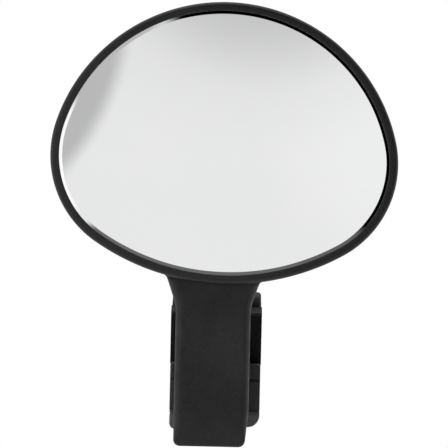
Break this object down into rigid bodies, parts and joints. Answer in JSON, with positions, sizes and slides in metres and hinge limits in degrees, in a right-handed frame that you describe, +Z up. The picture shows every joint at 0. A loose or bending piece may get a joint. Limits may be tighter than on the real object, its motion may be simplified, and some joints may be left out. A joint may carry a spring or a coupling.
{
  "type": "handlebar mirror",
  "caption": "Wide oval convex mirror in a slim housing that runs down into a flat arm, on a ball joint with a saddle and rubber strap for a handlebar.",
  "frame": {"origin": "on the handlebar's axis, below the middle of the arm", "axes": "+X to the right of someone looking into the mirror and along the handlebar, +Y away from them, +Z up"},
  "size_m": [0.0872, 0.0586, 0.1116],
  "materials": {
    "housing_plastic": "fine matte texture",
    "mirror_glass": "polished, silvered behind",
    "foam": "closed-cell foam",
    "cover_plastic": "fine matte texture",
    "screw_steel": "zinc plated",
    "bush_brass": "turned",
    "stud_steel": "turned, bright",
    "washer_plastic": "natural nylon",
    "liner_plastic": "natural acetal",
    "clamp_plastic": "matte moulded",
    "pad_rubber": "soft, matte",
    "hook_plastic": "matte moulded",
    "strap_rubber": "moulded, slightly satin"
  },
  "bodies": {
    "clamp": {"saddle": "clamp_plastic", "saddle_pad": "pad_rubber", "socket_cap": "clamp_plastic", "socket_screws": "screw_steel", "preload_pad": "pad_rubber", "strap_hook": "hook_plastic", "hook_screws": "screw_steel", "strap_pin": "stud_steel"},
    "liner": {"liner_front": "liner_plastic", "liner_rear": "liner_plastic"},
    "ball": {"ball_stud": "stud_steel", "thrust_washer": "washer_plastic", "flat_washer": "screw_steel", "spring_washer": "screw_steel", "lock_nut": "screw_steel"},
    "head": {"head_shell": "housing_plastic", "bezel": "housing_plastic", "mirror_lens": "mirror_glass", "lens_foam": "foam", "arm_cover": "cover_plastic", "cover_screws": "screw_steel", "stud_bush": "bush_brass"},
    "strap": {"strap": "strap_rubber"}
  },
  "joints": [
    {"name": "head_yaw", "type": "hinge", "parent": "clamp", "child": "liner", "pos_m": [0, -0.0218, 0.0045], "axis": [0, 0, 1], "range_deg": [-15, 15]},
    {"name": "head_tilt", "type": "hinge", "parent": "liner", "child": "ball", "pos_m": [0, -0.0218, 0.0045], "axis": [1, 0, 0], "range_deg": [-15, 15]},
    {"name": "head_spin", "type": "hinge", "parent": "ball", "child": "head", "pos_m": [0, -0.0218, 0.0045], "axis": [0, 1, 0], "continuous": true},
    {"name": "strap_swing", "type": "hinge", "parent": "clamp", "child": "strap", "pos_m": [0.00082, -0.00624, 0.0132], "axis": [1, 0, 0], "range_deg": [0, 100]}
  ]
}
